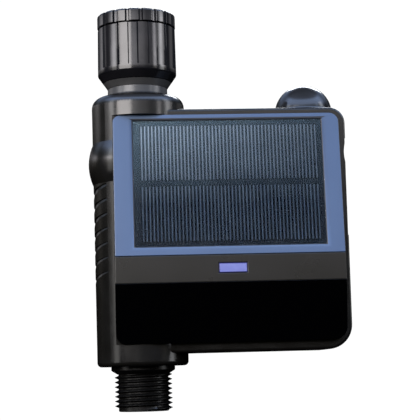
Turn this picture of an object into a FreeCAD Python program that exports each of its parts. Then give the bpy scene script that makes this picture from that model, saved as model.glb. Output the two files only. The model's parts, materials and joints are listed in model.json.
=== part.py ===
"""Solar drip irrigation timer: a tap-mounted ball valve with a solar-charged control box.

All lengths are millimetres. Heights in the sheet are measured up from the lower end of the
outlet thread, on the axis of the water tube, with X to the right, Y to the back and Z up.
Every sub-part is then lowered by TotalHeight, so the finished part has its origin at the
centre of the inlet's mouth and hangs below it, as it does on a tap.
"""
import FreeCAD, Part
import math
import os
import re

import Sketcher

Vector = FreeCAD.Vector
doc = FreeCAD.newDocument("irrigation_timer")

# ---------------------------------------------------------------- driving dimensions

SIZES = {
    # whole object and water tube
    "TotalHeight": 189,
    "TubeRadius": 21.45,
    "TubeTopRadius": 22.1,
    "TubeBottom": 20.86,
    "TubeTop": 150,
    "ShoulderHeight": 147.4,
    "ShoulderRound": 5,
    "BulgeRadius": 24,
    "ValveHeight": 116.46,
    "FootRound": 2,
    "Wall": 2.2,
    "FloorThick": 2.64,
    # control box
    "BoxRight": 97.2,
    "BoxBottom": 26.5,
    "BoxTop": 140.35,
    "BoxFront": -17.5,
    "BoxBack": 19,
    "BoxTopRound": 7.6,
    "BoxBottomRound": 11.5,
    "BoxBackRound": 4,
    "BoxFrontRound": 1.2,
    "ThumbRadius": 17,
    "ThumbDepth": 1,
    "ThumbHeight": 118.5,
    "SplitY": -15.3,
    # front plate, three pieces from top to bottom
    "PlateLeft": -12.47,
    "PlateRight": 93.91,
    "PlateTop": 137.5,
    "PlateTopY": -18.9,
    "RidgeHeight": 70.7,
    "RidgeY": -26.1,
    "BandBottom": 58.2,
    "BandY": -26.35,
    "PlateBottom": 30.9,
    "PlateBottomY": -22.2,
    "PlateWall": 2,
    # solar window, measured down the sloping face from its top edge
    "WindowLeft": -5,
    "WindowRight": 87.9,
    "WindowTop": 1.85,
    "WindowBottom": 64.6,
    "CellsLeft": -3.1,
    "CellsRight": 85.4,
    "CellsTop": 2.95,
    "CellsBottom": 62.8,
    "BevelDepth": 0.5,
    "CoverThick": 0.35,
    "CellThick": 0.15,
    "BoardThick": 0.6,
    # status window
    "LedX": 41.6,
    "LedHeight": 64.6,
    "LedWide": 13.2,
    "LedTall": 4.6,
    # outlet
    "OutletRadius": 13.495,
    "OutletRoot": 11.75,
    "OutletPitch": 2.209,
    "OutletThreadLength": 17.3,
    "OutletFlange": 15,
    "OutletFlangeBottom": 19.2,
    "OutletBore": 8.5,
    "PipeRadius": 11,
    "PipeTop": 101,
    # ball valve
    "BallRadius": 11.5,
    "BallBore": 7,
    "HousingRadius": 15.1,
    "HousingBottom": 98,
    "HousingTop": 137,
    "ChamberRadius": 12.1,
    "SeatReach": 12.5,
    "SeatNear": 8,
    "StemRadius": 4,
    "BossRadius": 7.5,
    "BossEnd": 21.9,
    "StemEnd": 29.4,
    # inlet
    "SpigotRadius": 12.9,
    "SpigotBore": 8.5,
    "NeckRadius": 14.29,
    "NeckBottom": 147.6,
    "NeckTop": 153.07,
    "CollarTop": 156,
    "CollarRadius": 16.2,
    "FlangeBottom": 160.5,
    "FlangeTop": 163,
    "FlangeRadius": 15.8,
    "NutBottom": 156.2,
    "NutEdge": 159.7,
    "NutTop": 182.4,
    "NutRadius": 18.85,
    "NutTopRadius": 18.6,
    "NutCavity": 16.65,
    "NutFloor": 160.3,
    "NutBand": 2.4,
    "NutRibs": 12,
    "RingRibs": 18,
    "RibDepth": 0.8,
    "AdapterThread": 16.55,
    "AdapterBottom": 166.1,
    "RingBottom": 182.9,
    "RingEdge": 0.7,
    "RingRadius": 18.8,
    "InletBore": 12.45,
    "WasherTop": 166,
    "WasherRadius": 15.6,
    "ScreenRadius": 10,
    # gears, all on axes along X
    "GearModule": 0.7,
    "ClusterHeight": 99.66,
    "MotorHeight": 84.96,
    "InnerPlate": 22,
    "OuterPlate": 34.5,
    "GearPlateThick": 1.5,
    "PlateScrew": 1.1,
    "OutputGearX": 25,
    "OutputGearWide": 4,
    "WheelX": 30,
    "WheelWide": 3,
    "AxleRadius": 1.5,
    "RunningGap": 0.05,
    "MotorRadius": 12,
    "MotorLength": 26,
    "ShaftRadius": 1,
    # button
    "ButtonX": 80.15,
    "ButtonY": 1.3,
    "ButtonHeight": 140.5,
    "ButtonRadius": 13.8,
    "ButtonGap": 0.3,
    "ButtonTravel": 1.5,
    "ButtonBoard": 126,
    "SpringCoil": 6.2,
    "SpringWire": 0.4,
    # inside
    "BatteryX": 82,
    "BatteryY": 4,
    "BatteryRadius": 9.1,
    "BatteryBottom": 52,
    "BatteryTall": 65,
    "BoardY": -11,
    # finger grip
    "GripRadius": 21.75,
    "GripPitch": 6.85,
    "GripBottom": 60.9,
    "GripDepth": 0.7,
    "GripReach": 1.44,
    "GripTilt": 10,
    "SideGripLow": 79.5,
    "SideGripHigh": 125.5,
    "SideGripInset": 0.4,
    "SideGripBottom": 81,
    "SideGripDepth": 0.7,
}

sheet = doc.addObject("Spreadsheet::Sheet", "Sizes")
for row, (alias, value) in enumerate(SIZES.items(), start=1):
    sheet.set(f"A{row}", alias)
    sheet.set(f"B{row}", str(value))
    sheet.setAlias(f"B{row}", alias)
doc.recompute()


def sheet_words(text):
    """An expression for the document: each of the sheet's words gets the sheet's name."""
    return re.sub(r"\b([A-Z][A-Za-z]+)\b", r"Sizes.\1", str(text))


def size(text):
    """The value now of an expression in the sheet's words."""
    return float(sheet.evalExpression(sheet_words(text)))


# ---------------------------------------------------------------- building helpers

AXES = {
    "X": FreeCAD.Rotation(Vector(0, 1, 0), 90),
    "Y": FreeCAD.Rotation(Vector(1, 0, 0), -90),
    "Z": FreeCAD.Rotation(),
}
parts = {}


def bind(thing, **expressions):
    """Ties properties of a document object to the sheet."""
    for name, text in expressions.items():
        thing.setExpression(name.replace("_", "."), sheet_words(text))


def place(thing, x="0", y="0", z="0", axis="Z"):
    """Puts a document object at a point bound to the sheet, its own Z along the named axis."""
    thing.Placement = FreeCAD.Placement(Vector(), AXES[axis])
    bind(thing, Placement_Base_x=x, Placement_Base_y=y, Placement_Base_z=z)


def cylinder(name, radius, length, x="0", y="0", z="0", axis="Z"):
    """A cylinder that starts at a point and runs along an axis."""
    piece = doc.addObject("Part::Cylinder", name)
    place(piece, x, y, z, axis)
    bind(piece, Radius=radius, Height=length)
    return piece


def block(name, x, y, z):
    """A box between two values on each axis, each given as a pair of expressions."""
    piece = doc.addObject("Part::Box", name)
    place(piece, x[0], y[0], z[0])
    bind(piece, Length=f"{x[1]} - ({x[0]})", Width=f"{y[1]} - ({y[0]})", Height=f"{z[1]} - ({z[0]})")
    return piece


def sphere(name, radius, x="0", y="0", z="0"):
    piece = doc.addObject("Part::Sphere", name)
    place(piece, x, y, z)
    bind(piece, Radius=radius)
    return piece


def fuse(name, *shapes):
    piece = doc.addObject("Part::MultiFuse", name)
    piece.Shapes = list(shapes)
    return piece


def common(name, *shapes):
    piece = doc.addObject("Part::MultiCommon", name)
    piece.Shapes = list(shapes)
    return piece


def cut(name, base, *tools):
    """The base less all the tools."""
    piece = doc.addObject("Part::Cut", name)
    piece.Base = base
    piece.Tool = tools[0] if len(tools) == 1 else fuse(name + "_tools", *tools)
    return piece


def group(name, *solids):
    """Separate solids kept as one sub-part, such as a set of equal screws."""
    piece = doc.addObject("Part::Compound", name)
    piece.Links = list(solids)
    return piece


def new_sketch(body, plane):
    """A sketch on one of the body's own origin planes."""
    face = next(item for item in body.Origin.OriginFeatures if item.Role == plane)
    sketch = body.newObject("Sketcher::SketchObject", body.Name + "_sketch")
    sketch.AttachmentSupport = (face, [""])
    sketch.MapMode = "FlatFace"
    return sketch


def draw_outline(sketch, points):
    """A closed outline of straight lines, with every corner tied to the sheet."""
    corners = [Vector(size(across), size(up), 0) for across, up in points]
    start = sketch.GeometryCount
    count = len(corners)
    for index, corner in enumerate(corners):
        sketch.addGeometry(Part.LineSegment(corner, corners[(index + 1) % count]), False)
    for index, (across, up) in enumerate(points):
        line = start + index
        sketch.addConstraint(Sketcher.Constraint("Coincident", line, 2, start + (index + 1) % count, 1))
        here = corners[index]
        for kind, text, now in (("DistanceX", across, here.x), ("DistanceY", up, here.y)):
            number = sketch.addConstraint(Sketcher.Constraint(kind, -1, 1, line, 1, now))
            sketch.setExpression(f"Constraints[{number}]", sheet_words(text))


def lathe(name, points, x="0", y="0", z="0", axis="Z"):
    """A turned body: its half outline, as (radius, height) pairs, revolved about its own Z."""
    body = doc.addObject("PartDesign::Body", name)
    sketch = new_sketch(body, "XZ_Plane")
    draw_outline(sketch, points)
    turned = body.newObject("PartDesign::Revolution", name + "_turned")
    turned.Profile = sketch
    turned.ReferenceAxis = (sketch, ["V_Axis"])
    turned.Angle = 360
    sketch.Visibility = False
    place(body, x, y, z, axis)
    return body


def slab(name, plane, points, start, end):
    """A flat outline padded from start to end, along X for YZ_Plane and along Y for XZ_Plane."""
    body = doc.addObject("PartDesign::Body", name)
    sketch = new_sketch(body, plane)
    draw_outline(sketch, points)
    pad = body.newObject("PartDesign::Pad", name + "_pad")
    pad.Profile = sketch
    pad.Reversed = plane == "XZ_Plane"
    bind(pad, Length=f"{end} - ({start})")
    if plane == "YZ_Plane":
        place(body, x=start)
    else:
        place(body, y=start)
    doc.recompute()
    return body


def round_edges(body, radius, chosen):
    """Fillets the edges of a body's tip that a test picks, by their middle point in the body's frame."""
    doc.recompute()
    base = body.Tip
    names = []
    for number, edge in enumerate(base.Shape.Edges, start=1):
        middle = edge.valueAt((edge.FirstParameter + edge.LastParameter) / 2)
        if chosen(edge, middle):
            names.append(f"Edge{number}")
    fillet = body.newObject("PartDesign::Fillet", f"{body.Name}_round_{len(body.Group)}")
    fillet.Base = (base, names)
    bind(fillet, Radius=radius)
    body.Tip = fillet
    doc.recompute()
    return body


def near(value, text, margin=0.02):
    return abs(value - size(text)) < margin


def finish_part(label, thing):
    """Names a finished sub-part and hangs it from the inlet's mouth."""
    height = next((rule[1] for rule in thing.ExpressionEngine if rule[0].endswith("Placement.Base.z")), "0")
    thing.setExpression("Placement.Base.z", f"{height} - Sizes.TotalHeight")
    thing.Label = label
    parts[label] = thing
    return thing


# ---------------------------------------------------------------- casing

def casing_form(name, inset):
    """The casing's outer form, or the same form drawn in by an inset on every side."""
    tube = lathe(
        name + "_tube",
        [
            ("0", f"TubeBottom + {inset}"),
            (f"TubeRadius - {inset}", f"TubeBottom + {inset}"),
            (f"TubeTopRadius - {inset}", f"ShoulderHeight - {inset}"),
            ("14", f"TubeTop - {inset}"),
            ("0", f"TubeTop - {inset}"),
        ],
    )
    round_edges(
        tube,
        f"ShoulderRound - {inset}",
        lambda edge, middle: near(middle.z, f"ShoulderHeight - {inset}") and middle.Length > 1,
    )
    if inset == "0":
        round_edges(
            tube,
            "FootRound",
            lambda edge, middle: near(middle.z, "TubeBottom") and len(edge.Vertexes) == 1,
        )
    bulge = sphere(name + "_bulge", f"BulgeRadius - {inset}", z="ValveHeight")
    box = slab(
        name + "_box",
        "XZ_Plane",
        [
            ("0", f"BoxBottom + {inset}"),
            (f"BoxRight - {inset}", f"BoxBottom + {inset}"),
            (f"BoxRight - {inset}", f"BoxTop - {inset}"),
            ("0", f"BoxTop - {inset}"),
        ],
        f"BoxFront + {inset}",
        f"BoxBack - {inset}",
    )
    right = f"BoxRight - {inset}"
    round_edges(
        box,
        f"BoxTopRound - {inset}",
        lambda edge, middle: near(middle.x, right) and near(middle.z, f"BoxTop - {inset}"),
    )
    round_edges(
        box,
        f"BoxBottomRound - {inset}",
        lambda edge, middle: near(middle.x, right) and near(middle.z, f"BoxBottom + {inset}"),
    )
    depth = f"BoxBack - BoxFront - 2 * {inset}"
    round_edges(
        box,
        f"BoxBackRound - {inset}",
        lambda edge, middle: near(middle.y, depth) and middle.x > 1,
    )
    if inset == "0":
        round_edges(
            box,
            "BoxFrontRound",
            lambda edge, middle: near(middle.y, "0") and middle.x > 1,
        )
    return fuse(name, tube, bulge, box)


SCREW_PLACES = [("42.5", "132.5"), ("60", "132.5"), ("28", "34.5"), ("58", "34.5"), ("88", "35")]


def grip_grooves():
    """Finger grooves on the left and back of the tube, each with a sharp upper lip.

    Every groove is a ring set off the tube's axis, so that it runs out smoothly at both ends,
    and tilted, so that its lip rises towards the front.
    """
    rings = []
    for step in range(7):
        ring = lathe(
            f"grip_ring_{step}",
            [
                ("GripRadius + GripReach - GripDepth", "1.6"),
                ("GripRadius + GripReach + 3", "1.6"),
                ("GripRadius + GripReach + 3", "-3.4"),
                ("GripRadius + GripReach - GripDepth + 0.9", "-3.4"),
            ],
            x="GripReach * cos(20)",
            y="-GripReach * sin(20)",
            z=f"GripBottom + {step} * GripPitch",
        )
        ring.Placement.Rotation = FreeCAD.Rotation(Vector(1, 0, 0), -1)
        bind(ring, Placement_Rotation_Angle="-GripTilt")
        rings.append(ring)
    left_side = block("grip_side", ("-40", "-4"), ("-40", "40"), ("0", "TotalHeight"))
    return common("grip_grooves", fuse("grip_rings", *rings), left_side)


def side_grooves():
    """The same grip on the right-hand wall of the box: a shallow recess crossed by grooves."""
    rods = []
    for step in range(7):
        rod = cylinder(
            f"side_groove_{step}",
            "1.6 + SideGripDepth",
            "22",
            x="BoxRight + 1.6 - SideGripInset",
            y="-7",
            z=f"SideGripBottom + {step} * GripPitch",
            axis="Y",
        )
        rods.append(rod)
    recess = block(
        "side_recess",
        ("BoxRight - SideGripInset", "BoxRight + 5"),
        ("BoxFront - 1", "BoxBack - BoxBackRound"),
        ("SideGripLow", "SideGripHigh"),
    )
    return rods, recess


thumb_rest = cylinder(
    "thumb_rest",
    "ThumbRadius",
    "80",
    x="BoxRight + ThumbRadius - ThumbDepth",
    y="-40",
    z="ThumbHeight",
    axis="Y",
)
side_rods, side_recess = side_grooves()
outer = cut("outer", casing_form("casing", "0"), thumb_rest, side_recess)
inner = casing_form("inner", "Wall")
seal_outside = casing_form("seal_outside", "1.1")
seal_inside = casing_form("seal_inside", "1.8")
front_zone = block(
    "front_zone", ("-40", "120"), ("-60", "SplitY"), ("TubeBottom + FloorThick", "TotalHeight")
)
cavity = cut(
    "cavity",
    inner,
    block("cavity_floor", ("-40", "40"), ("-40", "40"), ("0", "TubeBottom + FloorThick")),
)
button_hole = lathe(
    "button_hole",
    [
        ("0", "130"),
        ("ButtonRadius + 0.9", "130"),
        ("ButtonRadius + 0.9", "BoxTop - 1.6"),
        ("ButtonRadius + 1.7", "BoxTop - 1.6"),
        ("ButtonRadius + 1.7", "BoxTop + 20"),
        ("0", "BoxTop + 20"),
    ],
    x="ButtonX",
    y="ButtonY",
)
neck_hole = cylinder("neck_hole", "SpigotRadius", "30", z="130")
neck_recess = cylinder("neck_recess", "NeckRadius", "20", z="NeckBottom")
outlet_hole = cylinder("outlet_hole", "PipeRadius", "10", z="TubeBottom - 2")


def screw_bosses():
    """Short tubes on the back wall, each with a hole and a sunk seat for a case screw."""
    bosses = []
    holes = []
    for index, (across, up) in enumerate(SCREW_PLACES):
        bosses.append(cylinder(f"boss_{index}", "4.4", "BoxBack - 1 - 10", across, "10", up, "Y"))
        holes.append(cylinder(f"boss_hole_{index}", "1.7", "12", across, "8", up, "Y"))
        holes.append(cylinder(f"boss_seat_{index}", "3.3", "8", across, "14", up, "Y"))
    return bosses, holes


rear_bosses, rear_holes = screw_bosses()
seal_zone = block("seal_zone", ("-40", "120"), ("SplitY", "SplitY + 1"), ("TubeBottom + 5", "143"))
seal_ring = cut("seal_ring", seal_outside, seal_inside)
seal_groove = common("seal_groove", seal_ring, seal_zone)
rear_skin = cut(
    "rear_skin", outer, cavity, front_zone, grip_grooves(), *side_rods, seal_groove
)
rear_shell = cut(
    "rear_shell",
    fuse("rear_solid", rear_skin, *rear_bosses),
    *rear_holes,
    neck_hole,
    neck_recess,
    outlet_hole,
    button_hole,
)
finish_part("rear_shell", rear_shell)

front_skin = common("front_skin", outer, front_zone)
plate_zone = block(
    "plate_zone", ("PlateLeft - 0.1", "120"), ("-60", "BoxFront"), ("PlateBottom - 0.1", "PlateTop + 0.1")
)
led_hole = block(
    "led_hole",
    ("LedX - LedWide / 2", "LedX + LedWide / 2"),
    ("-60", "0"),
    ("LedHeight - LedTall / 2", "LedHeight + LedTall / 2"),
)
front_core = block("front_core", ("-9", "9"), ("-19.4", "-10"), ("PlateTop + 3", "ShoulderHeight - 3.2"))
front_posts = []
front_pilots = []
for index, (across, up) in enumerate(SCREW_PLACES):
    front_posts.append(cylinder(f"post_{index}", "3.3", "10 - SplitY", across, "SplitY", up, "Y"))
    front_pilots.append(cylinder(f"pilot_{index}", "1.2", "16", across, "-6", up, "Y"))
front_cut = cut("front_cut", front_skin, plate_zone, led_hole, front_core)
front_shell = cut("front_shell", fuse("front_solid", front_cut, *front_posts), *front_pilots)
finish_part("front_shell", front_shell)

case_screws = []
for index, (across, up) in enumerate(SCREW_PLACES):
    shank = cylinder(f"case_shank_{index}", "1.2", "18", across, "-4", up, "Y")
    head = cylinder(f"case_head_{index}", "2.9", "2", across, "14", up, "Y")
    slot = block(
        f"case_slot_{index}",
        (f"{across} - 1.8", f"{across} + 1.8"),
        ("15.2", "17"),
        (f"{up} - 0.4", f"{up} + 0.4"),
    )
    case_screws.append(cut(f"case_screw_{index}", fuse(f"case_blank_{index}", shank, head), slot))
finish_part("case_screws", group("case_screws", *case_screws))
finish_part("case_seal", common("case_seal", seal_ring, seal_zone))

# ---------------------------------------------------------------- front plate

def plate_piece(name, outline, hollow, rounds=None, level=None):
    """One hollow piece of the front plate, from its outline seen from the side.

    The rounds are for its left and right corners at one level.
    """
    body = slab(name + "_form", "YZ_Plane", outline, "PlateLeft", "PlateRight")
    if rounds:
        for side, radius in zip(("0", "PlateRight - PlateLeft"), rounds):
            round_edges(
                body,
                radius,
                lambda edge, middle, side=side: near(middle.x, side) and near(middle.z, level)
                and abs(edge.tangentAt(edge.FirstParameter).y) > 0.9,
            )
    inside = slab(
        name + "_hollow", "YZ_Plane", hollow, "PlateLeft + PlateWall", "PlateRight - PlateWall"
    )
    return body, inside


bezel_form, bezel_hollow = plate_piece(
    "bezel",
    [
        ("BoxFront", "RidgeHeight"),
        ("BoxFront", "PlateTop"),
        ("PlateTopY", "PlateTop"),
        ("RidgeY", "RidgeHeight"),
    ],
    [
        ("BoxFront + 1", "RidgeHeight + PlateWall"),
        ("BoxFront + 1", "PlateTop - 18"),
        ("PlateTopY + 0.2", "PlateTop - 18"),
        ("RidgeY + PlateWall + 0.2", "RidgeHeight + PlateWall"),
    ],
    ("3.6", "4.7"),
    "PlateTop",
)
band_form, band_hollow = plate_piece(
    "band",
    [
        ("BoxFront", "BandBottom"),
        ("BoxFront", "RidgeHeight"),
        ("RidgeY", "RidgeHeight"),
        ("BandY", "BandBottom"),
    ],
    [
        ("BoxFront + 1", "BandBottom + PlateWall"),
        ("BoxFront + 1", "RidgeHeight - PlateWall"),
        ("RidgeY + PlateWall", "RidgeHeight - PlateWall"),
        ("BandY + PlateWall", "BandBottom + PlateWall"),
    ],
)
cover_form, cover_hollow = plate_piece(
    "cover",
    [
        ("BoxFront", "PlateBottom"),
        ("BoxFront", "BandBottom"),
        ("BandY", "BandBottom"),
        ("PlateBottomY", "PlateBottom"),
    ],
    [
        ("BoxFront + 1", "PlateBottom + PlateWall"),
        ("BoxFront + 1", "BandBottom - PlateWall"),
        ("BandY + PlateWall", "BandBottom - PlateWall"),
        ("PlateBottomY + PlateWall", "PlateBottom + PlateWall"),
    ],
    ("4.7", "5.7"),
    "PlateBottom",
)


SLOPE = "atan((PlateTopY - RidgeY) / (PlateTop - RidgeHeight))"


def lay_on_slope(piece, left, bottom, near_side):
    """Places a piece in the sloping face's own frame: across, down the slope, and inwards."""
    piece.Placement = FreeCAD.Placement(Vector(), FreeCAD.Rotation(Vector(1, 0, 0), -1))
    bind(
        piece,
        Placement_Rotation_Angle=f"-{SLOPE}",
        Placement_Base_x=left,
        Placement_Base_y=f"PlateTopY - ({bottom}) * sin({SLOPE}) + ({near_side}) * cos({SLOPE})",
        Placement_Base_z=f"PlateTop - ({bottom}) * cos({SLOPE}) - ({near_side}) * sin({SLOPE})",
    )
    return piece


def panel_block(name, left, right, top, bottom, near_side, far_side):
    """A box lying on the sloping face."""
    piece = doc.addObject("Part::Box", name)
    bind(
        piece,
        Length=f"{right} - ({left})",
        Width=f"{far_side} - ({near_side})",
        Height=f"{bottom} - ({top})",
    )
    return lay_on_slope(piece, left, bottom, near_side)


def panel_mitre(name, left, right, top, bottom):
    """The space above the window: its four sides lean in to the solar panel's own edges."""
    rise = "3"
    piece = doc.addObject("Part::Wedge", name)
    edges = (
        ("X", left, right, "CellsLeft", "CellsRight"),
        ("Z", "0", f"{bottom} - {top}", f"{bottom} - CellsBottom", f"{bottom} - CellsTop"),
    )
    piece.Ymin = 0
    bind(piece, Ymax=f"{rise} + BevelDepth")
    for axis, low, high, far_low, far_high in edges:
        grown = f"({rise} + BevelDepth) / BevelDepth"
        origin = left if axis == "X" else "0"
        for word, edge, far in (("min", low, far_low), ("max", high, far_high)):
            spread = f"({far}) - (({far}) - ({edge})) * {grown} - ({origin})"
            bind(piece, **{f"{axis}{word}": spread, f"{axis}2{word}": f"({far}) - ({origin})"})
    return lay_on_slope(piece, left, bottom, f"-{rise}")


COVER_FACE = "BevelDepth"
CELL_FACE = "BevelDepth + CoverThick"
BOARD_FACE = "BevelDepth + CoverThick + CellThick"
BOARD_BACK = "BevelDepth + CoverThick + CellThick + BoardThick"
window_bevel = panel_mitre("window_bevel", "WindowLeft", "WindowRight", "WindowTop", "WindowBottom")
panel_seat = panel_block(
    "panel_seat", "CellsLeft", "CellsRight", "CellsTop", "CellsBottom", "0", BOARD_BACK
)
solar_bezel = cut("solar_bezel", bezel_form, bezel_hollow, window_bevel, panel_seat)
finish_part("solar_bezel", solar_bezel)
solar_cover = panel_block(
    "solar_cover", "CellsLeft", "CellsRight", "CellsTop", "CellsBottom", COVER_FACE, CELL_FACE
)
finish_part("solar_cover", solar_cover)
cell_rows = [
    panel_block(
        f"cell_row_{row}", "CellsLeft + 3", "CellsRight - 2", top, bottom, CELL_FACE, BOARD_FACE
    )
    for row, (top, bottom) in enumerate(
        [("CellsTop + 2", "CellsTop + 29"), ("CellsTop + 31", "CellsTop + 58")]
    )
]
finish_part("solar_cells", group("solar_cells", *cell_rows))
solar_board = panel_block(
    "solar_board", "CellsLeft", "CellsRight", "CellsTop", "CellsBottom", BOARD_FACE, BOARD_BACK
)
finish_part("solar_board", solar_board)
finish_part("led_fascia", cut("led_fascia", band_form, band_hollow, led_hole))
finish_part("lower_cover", cut("lower_cover", cover_form, cover_hollow))
led_lens = block(
    "led_lens",
    ("LedX - LedWide / 2", "LedX + LedWide / 2"),
    ("BandY + 0.1", "BoardY - 2.4"),
    ("LedHeight - LedTall / 2", "LedHeight + LedTall / 2"),
)
finish_part("led_lens", led_lens)

# ---------------------------------------------------------------- water way

def ring_grooves(root, crest, pitch, start, count):
    """Corner points, going up, of a ridged outside: flat-topped ridges with V grooves between."""
    points = []
    for turn in range(count):
        level = f"{start} + {turn} * {pitch}"
        points.append((crest, level))
        points.append((crest, f"{level} + 0.2 * {pitch}"))
        points.append((root, f"{level} + 0.6 * {pitch}"))
        points.append((root, f"{level} + 0.7 * {pitch}"))
    return points


outlet_points = [("OutletBore", "0"), ("OutletRadius - 0.9", "0")]
outlet_points += ring_grooves("OutletRoot", "OutletRadius", "OutletPitch", "0.6", 7)
outlet_points += [
    ("OutletRadius", "16.1"),
    ("OutletRadius", "16.6"),
    ("OutletRoot", "OutletThreadLength"),
    ("OutletRoot + 0.5", "OutletThreadLength + 0.1"),
    ("OutletFlange", "OutletFlangeBottom"),
    ("OutletFlange", "TubeBottom"),
    ("PipeRadius", "TubeBottom"),
    ("PipeRadius", "PipeTop"),
    ("OutletBore", "PipeTop"),
]
finish_part("outlet_pipe", lathe("outlet_pipe", outlet_points))

housing_cup = lathe(
    "housing_cup",
    [
        ("BallBore + 0.2", "HousingBottom + 3"),
        ("PipeRadius", "HousingBottom + 3"),
        ("PipeRadius", "HousingBottom"),
        ("HousingRadius", "HousingBottom"),
        ("HousingRadius", "HousingTop"),
        ("ChamberRadius", "HousingTop"),
        ("ChamberRadius", "ValveHeight - SeatReach"),
        ("BallBore + 0.2", "ValveHeight - SeatReach"),
    ],
)
stem_boss = cylinder("stem_boss", "BossRadius", "BossEnd - 14", x="14", z="ValveHeight", axis="X")
stem_hole = cylinder("stem_hole", "StemRadius + RunningGap", "14", x="10", z="ValveHeight", axis="X")
finish_part("ball_housing", cut("ball_housing", fuse("housing_blank", housing_cup, stem_boss), stem_hole))

seat_clearance = sphere("seat_clearance", "BallRadius + RunningGap", z="ValveHeight")
seats = []
for side, (low, high) in {
    "lower": ("ValveHeight - SeatReach", "ValveHeight - SeatNear"),
    "upper": ("ValveHeight + SeatNear", "ValveHeight + SeatReach"),
}.items():
    ring = lathe(
        f"{side}_seat_ring",
        [
            ("BallBore + 0.2", low),
            ("ChamberRadius - 0.05", low),
            ("ChamberRadius - 0.05", high),
            ("BallBore + 0.2", high),
        ],
    )
    seats.append(cut(f"{side}_seat", ring, seat_clearance))
finish_part("ball_seats", group("ball_seats", *seats))

ball_blank = sphere("ball_blank", "BallRadius", z="ValveHeight")
ball_bore = cylinder("ball_bore", "BallBore", "40", y="-20", z="ValveHeight", axis="Y")
ball_slot = block("ball_slot", ("8.6", "14"), ("-4", "4"), ("ValveHeight - 1.6", "ValveHeight + 1.6"))
finish_part("valve_ball", cut("valve_ball", ball_blank, ball_bore, ball_slot))

stem_points = [
    ("0", "12"),
    ("StemRadius", "12"),
    ("StemRadius", "14.6"),
    ("StemRadius - 1.2", "14.6"),
    ("StemRadius - 1.2", "16.2"),
    ("StemRadius", "16.2"),
    ("StemRadius", "17.8"),
    ("StemRadius - 1.2", "17.8"),
    ("StemRadius - 1.2", "19.4"),
    ("StemRadius", "19.4"),
    ("StemRadius", "StemEnd"),
    ("2", "StemEnd"),
    ("2", "OuterPlate + GearPlateThick"),
    ("0", "OuterPlate + GearPlateThick"),
]
stem_round = lathe("stem_round", stem_points, z="ValveHeight", axis="X")
stem_tang = block("stem_tang", ("8.7", "12.5"), ("-3.2", "3.2"), ("ValveHeight - 1.5", "ValveHeight + 1.5"))
stem_flat = block(
    "stem_flat", ("OutputGearX", "StemEnd"), ("-5", "5"), ("ValveHeight + 3", "ValveHeight + 6")
)
finish_part("valve_stem", cut("valve_stem", fuse("stem_blank", stem_round, stem_tang), stem_flat))

stem_seals = []
for index, start in enumerate(("14.6", "17.8")):
    stem_seals.append(
        lathe(
            f"stem_seal_{index}",
            [
                ("StemRadius - 1.2", f"{start} + 0.1"),
                ("StemRadius", f"{start} + 0.1"),
                ("StemRadius", f"{start} + 1.5"),
                ("StemRadius - 1.2", f"{start} + 1.5"),
            ],
            z="ValveHeight",
            axis="X",
        )
    )
finish_part("stem_seals", group("stem_seals", *stem_seals))

# ---------------------------------------------------------------- inlet

finish_part(
    "inlet_spigot",
    lathe(
        "inlet_spigot",
        [
            ("SpigotBore", "ValveHeight + SeatReach"),
            ("ChamberRadius", "ValveHeight + SeatReach"),
            ("ChamberRadius", "HousingTop"),
            ("SpigotRadius", "HousingTop"),
            ("SpigotRadius", "FlangeBottom"),
            ("FlangeRadius", "FlangeBottom"),
            ("FlangeRadius", "FlangeTop"),
            ("SpigotBore", "FlangeTop"),
        ],
    ),
)
finish_part(
    "neck_collar",
    lathe(
        "neck_collar",
        [
            ("SpigotRadius", "NeckBottom"),
            ("NeckRadius", "NeckBottom"),
            ("NeckRadius", "NeckTop - 0.15"),
            ("NeckRadius - 0.35", "NeckTop"),
            ("NeckRadius", "NeckTop + 0.15"),
            ("CollarRadius", "CollarTop"),
            ("SpigotRadius", "CollarTop"),
        ],
    ),
)
finish_part(
    "filter_washer",
    lathe(
        "filter_washer",
        [
            ("ScreenRadius", "FlangeTop"),
            ("WasherRadius", "FlangeTop"),
            ("WasherRadius", "WasherTop"),
            ("ScreenRadius", "WasherTop"),
        ],
    ),
)
finish_part(
    "filter_screen",
    lathe(
        "filter_screen",
        [
            ("0", "FlangeTop + 1"),
            ("ScreenRadius", "FlangeTop + 1"),
            ("ScreenRadius", "FlangeTop + 1.5"),
            ("0", "FlangeTop + 1.5"),
        ],
    ),
)


def ribbed(name, body, level, length, groove, count, turn):
    """Cuts one upright groove in a turned body and repeats it all round.

    The groove is the radius outside, half the width of its floor and half its width outside.
    """
    radius, floor, mouth = groove
    doc.recompute()
    sketch = new_sketch(body, "XY_Plane")
    sketch.AttachmentOffset = FreeCAD.Placement(
        Vector(0, 0, size(level)), FreeCAD.Rotation(Vector(0, 0, 1), turn)
    )
    sketch.setExpression("AttachmentOffset.Base.z", sheet_words(level))
    draw_outline(
        sketch,
        [
            (f"-{floor}", f"-{radius} + RibDepth"),
            (floor, f"-{radius} + RibDepth"),
            (mouth, f"-{radius} - 1"),
            (f"-{mouth}", f"-{radius} - 1"),
        ],
    )
    before = body.Shape.Volume
    pocket = body.newObject("PartDesign::Pocket", name + "_groove")
    pocket.Profile = sketch
    pocket.Reversed = True
    bind(pocket, Length=length)
    doc.recompute()
    if body.Shape.Volume > before - 0.1:
        raise SystemExit(f"{name}: the groove cuts nothing")
    pattern = body.newObject("PartDesign::PolarPattern", name + "_ribs")
    pattern.Originals = [pocket]
    pattern.Axis = (sketch, ["N_Axis"])
    pattern.Angle = 360
    bind(pattern, Occurrences=count)
    body.Tip = pattern
    return body


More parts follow.
